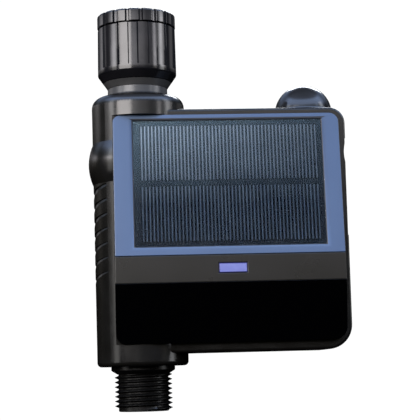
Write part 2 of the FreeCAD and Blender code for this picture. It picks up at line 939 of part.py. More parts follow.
nut = lathe(
    "nut_form",
    [
        ("SpigotRadius + 0.08", "NutBottom"),
        ("CollarRadius + 0.2", "NutBottom"),
        ("NutRadius", "NutEdge"),
        ("NutTopRadius", "NutTop"),
        ("NutCavity", "NutTop"),
        ("NutCavity", "NutFloor"),
        ("SpigotRadius + 0.08", "NutFloor"),
    ],
)
ribbed(
    "nut",
    nut,
    "NutEdge + NutBand",
    "NutTop - NutEdge - NutBand + 1",
    ("NutRadius", "2.4", "3.1"),
    "NutRibs",
    turn=8.5,
)
finish_part("coupling_nut", nut)

adapter = lathe(
    "adapter_form",
    [
        ("InletBore", "AdapterBottom"),
        ("AdapterThread", "AdapterBottom"),
        ("AdapterThread", "NutTop"),
        ("AdapterThread - 0.5", "RingBottom"),
        ("RingRadius", "RingBottom"),
        ("RingRadius", "TotalHeight - RingEdge"),
        ("RingRadius - RingEdge", "TotalHeight"),
        ("InletBore", "TotalHeight"),
    ],
)
ribbed(
    "adapter",
    adapter,
    "RingBottom - 1",
    "TotalHeight - RingBottom + 2",
    ("RingRadius", "0.75", "1.3"),
    "RingRibs",
    turn=6,
)
finish_part("thread_adapter", adapter)

# ---------------------------------------------------------------- gears

PRESSURE_ANGLE = math.radians(25)
ADDENDUM = 0.8
DEDENDUM = 1.1
BACKLASH = 0.1


def gear_face(teeth, module, turn):
    """The outline of a spur gear in the XY plane, with one tooth centred on an angle from +X."""
    pitch = module * teeth / 2
    base = pitch * math.cos(PRESSURE_ANGLE)
    tip = pitch + ADDENDUM * module
    root = pitch - DEDENDUM * module
    half_tooth = (math.pi * module / 2 - BACKLASH) / (2 * pitch)
    involute_at_pitch = math.tan(PRESSURE_ANGLE) - PRESSURE_ANGLE

    def flank_point(radius, side, centre):
        angle = math.acos(min(1.0, base / radius))
        offset = half_tooth + involute_at_pitch - (math.tan(angle) - angle)
        return Vector(
            radius * math.cos(centre + side * offset), radius * math.sin(centre + side * offset), 0
        )

    start = max(base, root)
    steps = 4
    edges = []
    last = None
    first = None
    for tooth in range(teeth):
        centre = math.radians(turn) + 2 * math.pi * tooth / teeth
        rising = [flank_point(start + (tip - start) * i / steps, -1, centre) for i in range(steps + 1)]
        falling = [flank_point(start + (tip - start) * i / steps, 1, centre) for i in range(steps, -1, -1)]
        foot = Vector(rising[0]) * (root / start)
        heel = Vector(falling[-1]) * (root / start)
        points = ([foot] if start > root else []) + rising
        if last is not None:
            edges.append(Part.makeLine(last, points[0]))
        else:
            first = points[0]
        for a, b in zip(points, points[1:]):
            edges.append(Part.makeLine(a, b))
        edges.append(Part.makeLine(rising[-1], falling[0]))
        points = falling + ([heel] if start > root else [])
        for a, b in zip(points, points[1:]):
            edges.append(Part.makeLine(a, b))
        last = points[-1]
    edges.append(Part.makeLine(last, first))
    return Part.Face(Part.Wire(edges))


def gear_solid(teeth, turn, start, wide, height):
    """A spur gear on an axis along X; its teeth are counted from straight down."""
    solid = gear_face(teeth, size("GearModule"), turn).extrude(Vector(0, 0, size(wide)))
    solid.Placement = FreeCAD.Placement(Vector(size(start), 0, size(height)), AXES["X"])
    return solid


def x_cylinder(radius, start, length, height, y=0):
    """A plain cylinder shape along X, for cutting and joining with gears."""
    return Part.makeCylinder(
        size(radius), size(length), Vector(size(start), y, size(height)), Vector(1, 0, 0)
    )


def shape_part(label, shape):
    """A sub-part with a shape of its own, made by calculation from the sheet."""
    feature = doc.addObject("Part::Feature", label)
    feature.Shape = shape.removeSplitter()
    place(feature)
    return finish_part(label, feature)


OUTPUT_TEETH = 36
PINION_TEETH = 12
WHEEL_TEETH = 30
# A gear's own +X points down once it lies along X. The gear above has a tooth pointing down,
# so the gear below has a gap pointing up: its teeth are turned by half a tooth from up.
half_pitch = 180 / PINION_TEETH
output_gear = gear_solid(OUTPUT_TEETH, 0, "OutputGearX", "OutputGearWide", "ValveHeight")
stem_way = x_cylinder("StemRadius", "OutputGearX - 1", "OutputGearWide + 2", "ValveHeight")
output_gear = output_gear.cut(stem_way)
flat_land = Part.makeBox(
    size("OutputGearWide"),
    10,
    1,
    Vector(size("OutputGearX"), -5, size("ValveHeight + 3")),
).common(x_cylinder("StemRadius", "OutputGearX", "OutputGearWide", "ValveHeight"))
shape_part("output_gear", output_gear.fuse(flat_land))

cluster_pinion = gear_solid(
    PINION_TEETH, 180 + half_pitch, "OutputGearX - 0.3", "WheelX - OutputGearX + 0.3", "ClusterHeight"
)
cluster_wheel = gear_solid(WHEEL_TEETH, 0, "WheelX", "WheelWide", "ClusterHeight")
cluster_bore = x_cylinder("AxleRadius + RunningGap", "InnerPlate", "14", "ClusterHeight")
shape_part("cluster_gear", cluster_pinion.fuse(cluster_wheel).cut(cluster_bore))

motor_pinion = gear_solid(PINION_TEETH, 180 + half_pitch, "WheelX - 0.2", "WheelWide + 0.4", "MotorHeight")
shaft_way = x_cylinder("ShaftRadius", "WheelX - 2", "WheelWide + 4", "MotorHeight")
shape_part("motor_pinion", motor_pinion.cut(shaft_way))

# ---------------------------------------------------------------- gearbox frame and motor

MOTOR_FACE = "OuterPlate + GearPlateThick"
PILLAR_PLACES = [("-12", "77"), ("12", "77"), ("-12", "131"), ("12", "131")]


def gear_plate(name, start, round_holes):
    """A gearbox plate with its four screw holes and more holes, given as radius, Y and Z."""
    plate = block(name + "_blank", (start, f"{start} + GearPlateThick"), ("-15", "15"), ("73.5", "134.5"))
    holes = [
        cylinder(f"{name}_hole_{index}", radius, "4", f"{start} - 1", across, up, "X")
        for index, (radius, across, up) in enumerate(
            [("PlateScrew", *pillar) for pillar in PILLAR_PLACES] + round_holes
        )
    ]
    return finish_part(name, cut(name, plate, *holes))


gear_plate(
    "inner_gear_plate",
    "InnerPlate",
    [("StemRadius + RunningGap", "0", "ValveHeight"), ("AxleRadius", "0", "ClusterHeight")],
)
gear_plate(
    "outer_gear_plate",
    "OuterPlate",
    [
        ("2 + RunningGap", "0", "ValveHeight"),
        ("AxleRadius", "0", "ClusterHeight"),
        ("3", "0", "MotorHeight"),
        ("PlateScrew", "0", "MotorHeight - 8"),
        ("PlateScrew", "8", "MotorHeight"),
    ],
)
pillars = []
plate_screws = []
for index, (across, up) in enumerate(PILLAR_PLACES):
    pillar = cylinder(
        f"pillar_{index}",
        "2.2",
        "OuterPlate - InnerPlate - GearPlateThick",
        "InnerPlate + GearPlateThick",
        across,
        up,
        "X",
    )
    thread = cylinder(f"pillar_thread_{index}", "PlateScrew", "20", "InnerPlate", across, up, "X")
    pillars.append(cut(f"pillar_tube_{index}", pillar, thread))
    shank = cylinder(f"plate_shank_{index}", "PlateScrew", "5", f"{MOTOR_FACE} - 5", across, up, "X")
    head = cylinder(f"plate_head_{index}", "1.9", "1.3", MOTOR_FACE, across, up, "X")
    plate_screws.append(fuse(f"plate_screw_{index}", shank, head))
finish_part("plate_pillars", group("plate_pillars", *pillars))
finish_part("plate_screws", group("plate_screws", *plate_screws))
finish_part(
    "cluster_axle",
    cylinder(
        "cluster_axle",
        "AxleRadius",
        f"{MOTOR_FACE} - InnerPlate",
        "InnerPlate",
        "0",
        "ClusterHeight",
        "X",
    ),
)

motor_can = lathe(
    "motor_can",
    [
        ("ShaftRadius + RunningGap", "-1.4"),
        ("2.95", "-1.4"),
        ("2.95", "0"),
        ("MotorRadius", "0"),
        ("MotorRadius", "MotorLength"),
        ("4", "MotorLength"),
        ("4", "MotorLength + 1.6"),
        ("ShaftRadius + RunningGap", "MotorLength + 1.6"),
    ],
    x=MOTOR_FACE,
    z="MotorHeight",
    axis="X",
)
motor_taps = [
    cylinder("motor_tap_low", "PlateScrew", "3.4", MOTOR_FACE, "0", "MotorHeight - 8", "X"),
    cylinder("motor_tap_high", "PlateScrew", "3.4", MOTOR_FACE, "8", "MotorHeight", "X"),
]
finish_part("drive_motor", cut("drive_motor", motor_can, *motor_taps))
finish_part(
    "motor_shaft",
    cylinder("motor_shaft", "ShaftRadius", "MotorLength + 7.6", "WheelX - 0.6", "0", "MotorHeight", "X"),
)
motor_screws = []
for index, (across, up) in enumerate((("0", "MotorHeight - 8"), ("8", "MotorHeight"))):
    shank = cylinder(f"motor_fix_{index}", "PlateScrew", "4.5", "OuterPlate", across, up, "X")
    head = cylinder(f"motor_fix_head_{index}", "1.9", "1.2", "OuterPlate - 1.2", across, up, "X")
    motor_screws.append(fuse(f"motor_screw_{index}", shank, head))
finish_part("motor_screws", group("motor_screws", *motor_screws))

# ---------------------------------------------------------------- button

finish_part(
    "button_bezel",
    lathe(
        "button_bezel",
        [
            ("ButtonRadius + ButtonGap", "BoxTop - 3.3"),
            ("ButtonRadius + 0.9", "BoxTop - 3.3"),
            ("ButtonRadius + 0.9", "BoxTop - 1.6"),
            ("ButtonRadius + 1.7", "BoxTop - 1.6"),
            ("ButtonRadius + 1.7", "BoxTop - 0.1"),
            ("ButtonRadius + 1.15", "BoxTop + 0.25"),
            ("ButtonRadius + 0.75", "BoxTop + 0.75"),
            ("ButtonRadius + 0.5", "BoxTop + 1.5"),
            ("ButtonRadius + ButtonGap", "BoxTop + 1.6"),
        ],
        x="ButtonX",
        y="ButtonY",
    ),
)
SKIRT_BOTTOM = "ButtonHeight - 4.1"


def on_button(name, radius, length, level):
    """An upright cylinder on the button's own axis."""
    return cylinder(name, radius, length, "ButtonX", "ButtonY", level)


def button_block(name, wide, deep, levels):
    """A box placed from the button's own axis, each side given as a pair of offsets."""
    across = tuple(f"ButtonX + ({offset})" for offset in wide)
    along = tuple(f"ButtonY + ({offset})" for offset in deep)
    return block(name, across, along, levels)


def button_ball(name, radius):
    return sphere(name, radius, "ButtonX", "ButtonY", "ButtonHeight")


dome_upper = button_block("dome_upper", ("-30", "30"), ("-30", "30"), ("ButtonHeight", "ButtonHeight + 30"))
dome = cut(
    "dome",
    fuse(
        "dome_blank",
        common("dome_cap", button_ball("dome_ball", "ButtonRadius"), dome_upper),
        on_button("dome_skirt", "ButtonRadius", "4.1", SKIRT_BOTTOM),
    ),
    button_ball("dome_hollow", "ButtonRadius - 1.9"),
    on_button("skirt_hollow", "ButtonRadius - 1.9", "4.2", "ButtonHeight - 4.2"),
)
dome_boss = cut(
    "dome_boss",
    common(
        "dome_boss_top",
        on_button("dome_post", "7.6", "15", "ButtonHeight - 3"),
        button_ball("dome_limit", "ButtonRadius - 1"),
    ),
    on_button("dome_post_core", "4", "11", "ButtonHeight - 4"),
)
dome_plunger = on_button("dome_plunger", "2.5", "16", "ButtonHeight - 6.4")
TAB_LEVELS = (SKIRT_BOTTOM, f"{SKIRT_BOTTOM} + 0.5")
tabs = [
    button_block("tab_left", ("-14.7", "-12"), ("-3", "3"), TAB_LEVELS),
    button_block("tab_front", ("-3", "3"), ("-14.7", "-12"), TAB_LEVELS),
    button_block("tab_back", ("-3", "3"), ("12", "14.7"), TAB_LEVELS),
]
finish_part("button_cap", fuse("button_cap", dome, dome_boss, dome_plunger, *tabs))

BOARD_TOP = "ButtonBoard + 1.6"
finish_part(
    "button_board",
    button_block("button_board", ("-10.5", "12.5"), ("-12", "12"), ("ButtonBoard", BOARD_TOP)),
)
switch_body = button_block("switch_body", ("-3", "3"), ("-3", "3"), (BOARD_TOP, f"{BOARD_TOP} + 3.5"))
switch_pin = on_button("switch_pin", "1.7", "0.9", f"{BOARD_TOP} + 3.5")
finish_part("tact_switch", fuse("tact_switch", switch_body, switch_pin))

SPRING_TURNS = 4.5
WIRE_SIDES = 8
spring_start = f"{BOARD_TOP} + SpringWire + 0.05"
spring_tall = size(f"ButtonHeight - 3 - SpringWire - 0.05 - ({spring_start})")
coil_radius = size("SpringCoil")
helix = Part.Wire(Part.makeHelix(spring_tall / SPRING_TURNS, spring_tall, coil_radius))
corners = []
for corner in range(WIRE_SIDES + 1):
    around = 2 * math.pi * corner / WIRE_SIDES
    across = coil_radius + size("SpringWire") * math.cos(around)
    corners.append(Vector(across, 0, size("SpringWire") * math.sin(around)))
spring = doc.addObject("Part::Feature", "button_spring")
spring.Shape = helix.makePipeShell([Part.makePolygon(corners)], True, True)
place(spring, "ButtonX", "ButtonY", spring_start)
finish_part("button_spring", spring)

# ---------------------------------------------------------------- battery and boards

finish_part(
    "battery_cell",
    cylinder("battery_cell", "BatteryRadius", "BatteryTall", "BatteryX", "BatteryY", "BatteryBottom"),
)
CELL_TOP = "BatteryBottom + BatteryTall"
cradle = block("cradle", ("71", "92.8"), ("BatteryY", "16.8"), ("BatteryBottom - 3", f"{CELL_TOP} + 3"))
cradle_hollow = cylinder(
    "cradle_hollow", "BatteryRadius", "BatteryTall + 2", "BatteryX", "BatteryY", "BatteryBottom - 1"
)
finish_part("battery_holder", cut("battery_holder", cradle, cradle_hollow))
clips = [
    cylinder("clip_low", "6", "0.8", "BatteryX", "BatteryY", "BatteryBottom - 0.8"),
    cylinder("clip_high", "6", "0.8", "BatteryX", "BatteryY", CELL_TOP),
]
finish_part("battery_clips", group("battery_clips", *clips))

finish_part(
    "main_board", block("main_board", ("34", "92"), ("BoardY", "BoardY + 1.6"), ("40", "72"))
)
finish_part(
    "controller_chip",
    block("controller_chip", ("52", "62"), ("BoardY + 1.6", "BoardY + 3"), ("50", "60")),
)
finish_part(
    "radio_module",
    block("radio_module", ("72", "90"), ("BoardY - 2.6", "BoardY"), ("42", "55")),
)
finish_part(
    "board_parts",
    group(
        "board_parts",
        block("motor_socket", ("37", "45"), ("BoardY + 1.6", "BoardY + 5.6"), ("44", "50")),
        block("panel_socket", ("37", "43"), ("BoardY + 1.6", "BoardY + 5.6"), ("60", "66")),
        block("charge_chip", ("48", "52"), ("BoardY - 1.4", "BoardY"), ("46", "50")),
        cylinder("capacitor", "3.2", "7", "66", "BoardY + 1.6", "56", "Y"),
    ),
)
finish_part(
    "status_led",
    block(
        "status_led",
        ("LedX - 2.5", "LedX + 2.5"),
        ("BoardY - 1.9", "BoardY"),
        ("LedHeight - 1.8", "LedHeight + 1.8"),
    ),
)

# ---------------------------------------------------------------- checks and files

doc.recompute()
for thing in doc.Objects:
    if "Invalid" in thing.State or "Error" in thing.State:
        raise SystemExit(f"{thing.Name} did not compute: {thing.State}")
for label, thing in parts.items():
    if thing.Shape.isNull() or not thing.Shape.isValid() or not thing.Shape.Solids:
        raise SystemExit(f"{label} has no valid solid")

os.makedirs("parts", exist_ok=True)
for label, thing in parts.items():
    thing.Shape.exportStep(f"parts/{label}.step")
    print(f"{label}: {len(thing.Shape.Solids)} solid, {thing.Shape.Volume:.1f} mm3")
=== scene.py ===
import bmesh
import bpy
import json
import math
from mathutils import Matrix, Vector


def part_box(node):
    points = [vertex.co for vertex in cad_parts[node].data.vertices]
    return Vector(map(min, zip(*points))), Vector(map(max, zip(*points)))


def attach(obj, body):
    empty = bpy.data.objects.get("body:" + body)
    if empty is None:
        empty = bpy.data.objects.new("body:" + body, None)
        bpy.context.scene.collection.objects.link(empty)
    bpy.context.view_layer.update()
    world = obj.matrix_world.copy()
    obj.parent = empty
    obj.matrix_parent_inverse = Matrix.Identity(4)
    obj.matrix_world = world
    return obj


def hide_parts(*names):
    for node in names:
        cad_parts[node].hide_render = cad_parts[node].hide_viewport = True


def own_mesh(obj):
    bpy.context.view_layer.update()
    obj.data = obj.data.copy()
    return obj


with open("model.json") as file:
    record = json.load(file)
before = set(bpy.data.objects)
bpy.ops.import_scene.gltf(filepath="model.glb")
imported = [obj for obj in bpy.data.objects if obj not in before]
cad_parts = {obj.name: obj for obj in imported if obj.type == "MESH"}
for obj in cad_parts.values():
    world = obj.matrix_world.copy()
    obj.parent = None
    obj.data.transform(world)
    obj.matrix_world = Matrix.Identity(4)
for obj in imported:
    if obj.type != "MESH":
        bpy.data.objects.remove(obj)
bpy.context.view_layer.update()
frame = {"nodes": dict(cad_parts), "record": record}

MM = 0.001
nodes = frame["nodes"]
record = frame["record"]
scene = bpy.context.scene
scene.view_settings.view_transform = "Standard"
scene.view_settings.look = "None"


# ---------------------------------------------------------------- materials

class Surface:
    """A node material under construction: a principled shader with detail fed into it."""

    def __init__(self, name, colour, roughness, **sockets):
        self.material = bpy.data.materials.new(name)
        self.material.use_nodes = True
        self.tree = self.material.node_tree
        self.shader = self.tree.nodes["Principled BSDF"]
        self.colour = colour
        self.roughness = roughness
        self.shader.inputs["Base Color"].default_value = (*colour, 1)
        self.shader.inputs["Roughness"].default_value = roughness
        for socket, value in sockets.items():
            self.shader.inputs[socket.replace("_", " ")].default_value = value
        self.place = self.add("ShaderNodeTexCoord").outputs["Object"]

    def add(self, kind, **settings):
        node = self.tree.nodes.new(kind)
        for key, value in settings.items():
            setattr(node, key, value)
        return node

    def link(self, start, end):
        self.tree.links.new(start, end)

    def noise(self, size, detail=3.0):
        """Noise whose grain is about a given size in millimetres."""
        texture = self.add("ShaderNodeTexNoise")
        texture.inputs["Scale"].default_value = 1 / (size * MM)
        texture.inputs["Detail"].default_value = detail
        self.link(self.place, texture.inputs["Vector"])
        return texture.outputs["Fac"]

    def ramp(self, value, low, high, start=0.3, end=0.7):
        """Maps a value between start and end onto low to high."""
        node = self.add("ShaderNodeMapRange")
        node.inputs["From Min"].default_value = start
        node.inputs["From Max"].default_value = end
        node.inputs["To Min"].default_value = low
        node.inputs["To Max"].default_value = high
        self.link(value, node.inputs["Value"])
        return node.outputs["Result"]

    def blend_colour(self, factor, other):
        """Blends the base colour into another one by a factor."""
        node = self.add("ShaderNodeMix", data_type="RGBA")
        self.link(factor, node.inputs["Factor"])
        node.inputs["A"].default_value = (*self.colour, 1)
        node.inputs["B"].default_value = (*other, 1)
        self.link(node.outputs["Result"], self.shader.inputs["Base Color"])

    def tint(self, size, other):
        """Slow patches of a second colour."""
        self.blend_colour(self.ramp(self.noise(size), 0.0, 1.0), other)
        return self

    def fade(self, reflection_colour):
        """Painted reflection: the colour grows lighter up the window and towards the tube, with a
        little noise, standing in for the sky reflected on the panel.
        """
        middle, top, far_side = -94 * MM, -50 * MM, 80 * MM
        split = self.add("ShaderNodeSeparateXYZ")
        self.link(self.place, split.inputs["Vector"])
        product = self.add("ShaderNodeMath", operation="MULTIPLY")
        self.link(self.ramp(split.outputs["Z"], 0.0, 1.0, middle, top), product.inputs[0])
        self.link(self.ramp(split.outputs["X"], 1.0, 0.35, 0.0, far_side), product.inputs[1])
        total = self.add("ShaderNodeMath", operation="ADD", use_clamp=True)
        self.link(product.outputs["Value"], total.inputs[0])
        self.link(self.ramp(self.noise(9, 4), -0.06, 0.06), total.inputs[1])
        self.blend_colour(total.outputs["Value"], reflection_colour)
        return self

    def polish(self, size, spread):
        """Patches of slightly different gloss, as handling and moulding leave."""
        value = self.ramp(self.noise(size, 5), self.roughness - spread, self.roughness + spread)
        self.link(value, self.shader.inputs["Roughness"])
        return self

    def grain(self, size, depth):
        """A fine surface relief. Its size and depth are in millimetres."""
        bump = self.add("ShaderNodeBump")
        bump.inputs["Strength"].default_value = 1.0
        bump.inputs["Distance"].default_value = depth * MM
        self.link(self.noise(size, 4), bump.inputs["Height"])
        self.link(bump.outputs["Normal"], self.shader.inputs["Normal"])
        return self


MATERIALS = {}


def finish(name, colour, roughness, **sockets):
    """A new surface whose material the pieces can name."""
    surface = Surface(name, colour, roughness, **sockets)
    MATERIALS[name] = surface.material
    return surface


def make_finishes():
    """A material for each of the record's slots, and a few more for parts of a piece."""
    # the casing, frame and fascia
    made = finish("casing", (0.0046, 0.0042, 0.0033), 0.20)
    made.tint(14, (0.0066, 0.0060, 0.0050)).polish(9, 0.04).grain(0.5, 0.004)
    made = finish("front_casing", (0.0050, 0.0046, 0.0040), 0.20)
    made.tint(14, (0.0070, 0.0065, 0.0058)).polish(9, 0.04).grain(0.5, 0.003)
    made = finish("bezel", (0.060, 0.097, 0.172), 0.3)
    made.tint(30, (0.066, 0.105, 0.183)).polish(12, 0.01).grain(0.3, 0.002)
    # painted shade: near-black for the bezel's outer walls and the walls round its window, standing
    # in for the shadow in the gaps there
    made = finish("mitre_painted_shade", (0.012, 0.016, 0.024), 0.35)
    made.tint(9, (0.022, 0.022, 0.024)).polish(6, 0.05)
    made = finish("fascia", (0.0130, 0.0112, 0.0076), 0.28, Specular_IOR_Level=0.42)
    made.tint(20, (0.016, 0.0135, 0.010)).polish(12, 0.012).grain(0.3, 0.003)
    finish("cover", (0.0004, 0.0004, 0.0005), 0.07).polish(12, 0.02)
    # painted glow: a faint emission lightens the status window; it is painted light, not a lamp
    painted_glow = (0.22, 0.24, 0.6, 1)
    made = finish(
        "lens", (0.155, 0.165, 0.38), 0.3, Emission_Color=painted_glow, Emission_Strength=0.07
    )
    made.tint(3, (0.18, 0.195, 0.42)).grain(0.6, 0.004)
    # painted shade: the dark blue border round the status window stands in for the shadow in the
    # gap round it
    made = finish("lens_edge_painted_shade", (0.015, 0.014, 0.09), 0.35)
    made.tint(1, (0.02, 0.018, 0.11)).grain(0.4, 0.003)

    # the solar panel under its cover, its colours lightened up the window by a painted reflection
    made = finish("panel_glass", (0.93, 0.97, 1.0), 0.05, Transmission_Weight=1.0, IOR=1.2)
    made.polish(6, 0.015)
    made = finish("silicon", (0.0004, 0.0009, 0.0020), 0.35, Specular_IOR_Level=0.05)
    made.fade((0.034, 0.045, 0.047)).polish(2, 0.05)
    made = finish("finger", (0.010, 0.018, 0.027), 0.45, Specular_IOR_Level=0.2)
    made.fade((0.160, 0.180, 0.190)).polish(1, 0.08)
    made = finish("laminate", (0.0006, 0.0022, 0.0042), 0.35, Specular_IOR_Level=0.1)
    made.fade((0.034, 0.049, 0.054)).polish(3, 0.06)

    # the inlet, the outlet and the button
    made = finish("nut", (0.0055, 0.0053, 0.0060), 0.13, IOR=1.47)
    made.tint(8, (0.0075, 0.0072, 0.0085)).polish(5, 0.03).grain(0.4, 0.002)
    # painted shade: a near-black, dull finish for the steep walls of the grooves on the nut and the
    # ring, standing in for the shadow in them
    made = finish("rib_wall_painted_shade", (0.0010, 0.0010, 0.0014), 0.6, Specular_IOR_Level=0.1)
    made.tint(3, (0.002, 0.002, 0.003))
    # painted light: the collar is given a much lighter colour than the black plastic round it,
    # standing in for the light it catches
    made = finish("collar", (0.042, 0.041, 0.040), 0.3)
    made.tint(6, (0.052, 0.051, 0.049)).grain(0.4, 0.0015)
    made = finish("outlet", (0.0022, 0.0021, 0.0018), 0.30, Specular_IOR_Level=0.32)
    made.tint(6, (0.0036, 0.0033, 0.0029)).polish(4, 0.03).grain(0.5, 0.0004)
    made = finish("button", (0.0085, 0.0085, 0.0090), 0.16)
    made.tint(9, (0.011, 0.011, 0.0115)).polish(5, 0.03).grain(0.6, 0.002)

    # inside
    made = finish("board", (0.02, 0.10, 0.04), 0.4)
    made.tint(4, (0.03, 0.14, 0.06)).polish(3, 0.08)
    finish("chips", (0.02, 0.02, 0.022), 0.5).tint(2, (0.03, 0.03, 0.03)).grain(0.2, 0.01)
    finish("led", (0.85, 0.85, 0.8), 0.3).tint(1, (0.9, 0.88, 0.7))
    made = finish("battery", (0.05, 0.12, 0.35), 0.3)
    made.tint(8, (0.06, 0.15, 0.4)).polish(6, 0.05)
    made = finish("valve_plastic", (0.62, 0.62, 0.58), 0.4)
    made.tint(8, (0.7, 0.69, 0.64)).grain(0.5, 0.01)
    finish("seat", (0.85, 0.85, 0.82), 0.45).tint(5, (0.8, 0.8, 0.78))
    finish("rubber", (0.02, 0.02, 0.02), 0.7).tint(3, (0.03, 0.03, 0.03)).grain(0.3, 0.02)
    finish("gear", (0.75, 0.72, 0.62), 0.45).tint(4, (0.7, 0.67, 0.56)).grain(0.4, 0.01)
    finish("ball", (0.75, 0.75, 0.77), 0.12, Metallic=1.0).polish(4, 0.03)
    made = finish("brass", (0.65, 0.46, 0.18), 0.3, Metallic=1.0)
    made.tint(3, (0.6, 0.4, 0.15)).polish(2, 0.06)
    made = finish("steel", (0.55, 0.55, 0.56), 0.35, Metallic=1.0)
    made.tint(5, (0.5, 0.5, 0.5)).polish(3, 0.08)
    finish("screen", (0.55, 0.55, 0.55), 0.35, Metallic=1.0).tint(2, (0.45, 0.45, 0.45))


make_finishes()
SLOT_OF = {item["node"]: item["material_slot"] for item in record["subparts"]}
BODY_OF = {
    node: body for body, members in record["behaviour"]["bodies"].items() for node in members
}
for name, thing in nodes.items():
    thing.data.materials.clear()
    thing.data.materials.append(MATERIALS[SLOT_OF[name]])
nodes["solar_board"].data.materials[0] = MATERIALS["laminate"]


# ---------------------------------------------------------------- pieces

SHARP = math.radians(32)


def show(name, shape, node, materials=(), smooth=True):
    """Turns a finished bmesh into a visible piece that stands for a CAD node."""
    mesh = bpy.data.meshes.new(name)
    bmesh.ops.recalc_face_normals(shape, faces=shape.faces)
    for face in shape.faces:
        face.smooth = smooth
    shape.to_mesh(mesh)
    shape.free()
    piece = bpy.data.objects.new(name, mesh)
    scene.collection.objects.link(piece)
    for material in materials or (SLOT_OF[node],):
        mesh.materials.append(MATERIALS[material])
    if smooth:
        mesh.set_sharp_from_angle(angle=SHARP)
        piece.modifiers.new("even_shading", "WEIGHTED_NORMAL").keep_sharp = True
    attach(piece, BODY_OF[node])
    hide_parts(node)
    return piece


def softened(node, width, segments=3):
    """The CAD piece's own mesh with its edges rounded off, over a width in millimetres."""
    flat, edged = math.radians(1), math.radians(30)
    shape = bmesh.new()
    shape.from_mesh(nodes[node].data)
    bmesh.ops.remove_doubles(shape, verts=shape.verts, dist=0.001 * MM)
    bmesh.ops.dissolve_limit(shape, angle_limit=flat, verts=shape.verts, edges=shape.edges)
    bmesh.ops.bevel(
        shape,
        geom=[edge for edge in shape.edges if edge.is_manifold and edge.calc_face_angle() > edged],
        offset=width * MM,
        offset_type="OFFSET",
        segments=segments,
        profile=0.5,
        affect="EDGES",
        clamp_overlap=True,
    )
    return shape


def polar(angle, radius, height):
    """A point in metres about the tube's axis. The angle runs from the front towards +X."""
    return (radius * math.sin(angle) * MM, -radius * math.cos(angle) * MM, height * MM)


def add_skin(shape, rows, ends=True):
    """Faces from each loop of corners to the next, with the two ends closed or left open."""
    for row, following in zip(rows, rows[1:]):
        for index in range(len(row)):
            after = (index + 1) % len(row)
            shape.faces.new((row[index], following[index], following[after], row[after]))
    if ends:
        shape.faces.new(rows[0])
        shape.faces.new(rows[-1])


def turned(outline, steps, reach=None):
    """A closed outline of (radius, height) pairs in millimetres, turned about the tube's axis.

    reach() gives the radius at an angle, where it isn't the outline's own.
    """
    shape = bmesh.new()
    rings = []
    for step in range(steps):
        angle = 2 * math.pi * step / steps
        ring = []
        for radius, height in outline:
            if reach:
                radius = reach(angle, radius, height)
            ring.append(shape.verts.new(polar(angle, radius, height)))
        rings.append(ring)
    add_skin(shape, [*rings, rings[0]], ends=False)
    return shape


def smooth_step(value):
    """Eases from 0 to 1."""
    value = min(1.0, max(0.0, value))
    return value * value * (3 - 2 * value)


def levels(low, high, count):
    """Evenly spaced values, both ends included."""
    return [low + (high - low) * index / (count - 1) for index in range(count)]


def flat_groove(angle, count, turn, floor, mouth):
    """How deep an angle lies in the nearest of count grooves, from 0 outside to 1 on its floor.

    The first groove is at turn. The floor and the mouth are half widths. All are degrees.
    """
    pitch = 360 / count
    offset = (math.degrees(angle) - turn + pitch / 2) % pitch - pitch / 2
    return smooth_step((mouth - abs(offset)) / (mouth - floor))


def box_mm(node):
    low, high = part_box(node)
    return low / MM, high / MM


def shade_groove_walls(shape, beyond):
    """Gives the steep walls of the grooves, outside a radius in millimetres, the second finish: a
    near-black painted shade for the shadow in the grooves.
    """
    shape.normal_update()
    for face in shape.faces:
        place = face.calc_center_median()
        radial = Vector((place.x, place.y, 0))
        upright = abs(face.normal.z) < 0.5
        if upright and radial.length > beyond * MM:
            turned_away = abs(face.normal.dot(radial.normalized())) < 0.93
            face.material_index = 1 if turned_away else 0
    return shape


def make_nut():
    """The coupling nut: twelve raised ribs, a smooth band below them and a rounded lower edge."""
    low, high = box_mm("coupling_nut")
    bottom, top, radius = low.z, high.z, high.x
    wall, rib_height = 17.5, 0.8
    band = bottom + 3.5
    ribs_start = bottom + 5.9
    taper = 0.25 / (top - band)

    def reach(angle, distance, height):
        if distance < wall or height < ribs_start - 0.01:
            return distance
        depth = flat_groove(angle, count=12, turn=8.5, floor=7.0, mouth=9.0)
        depth *= smooth_step((height - ribs_start) / 0.1)
        return distance + (radius - rib_height - distance) * depth

    outline = [
        (12.98, bottom),
        (16.1, bottom),
        (16.45, bottom + 0.12),
        (17.95, bottom + 2.25),
        (18.5, bottom + 3.0),
        (18.78, band),
        (18.84, bottom + 3.9),
    ]
    for height in [ribs_start, ribs_start + 0.1, *levels(ribs_start + 3, top - 0.35, 5)]:
        outline.append((radius - taper * (height - band), height))
    outline += [(18.3, top), (16.65, top), (16.65, bottom + 4.1), (12.98, bottom + 4.1)]
    shape = shade_groove_walls(turned(outline, 720, reach), wall)
    show("nut_body", shape, "coupling_nut", ("nut", "rib_wall_painted_shade"))


THREAD_PITCH = 2.209


def thread_ridge(height, angle):
    """How far up a right-hand thread's ridge a point lies, from 0 to 1."""
    phase = (height / THREAD_PITCH - angle / (2 * math.pi)) % 1
    return min(1.0, max(0.0, abs(phase - 0.5) * 2.5 - 0.2))


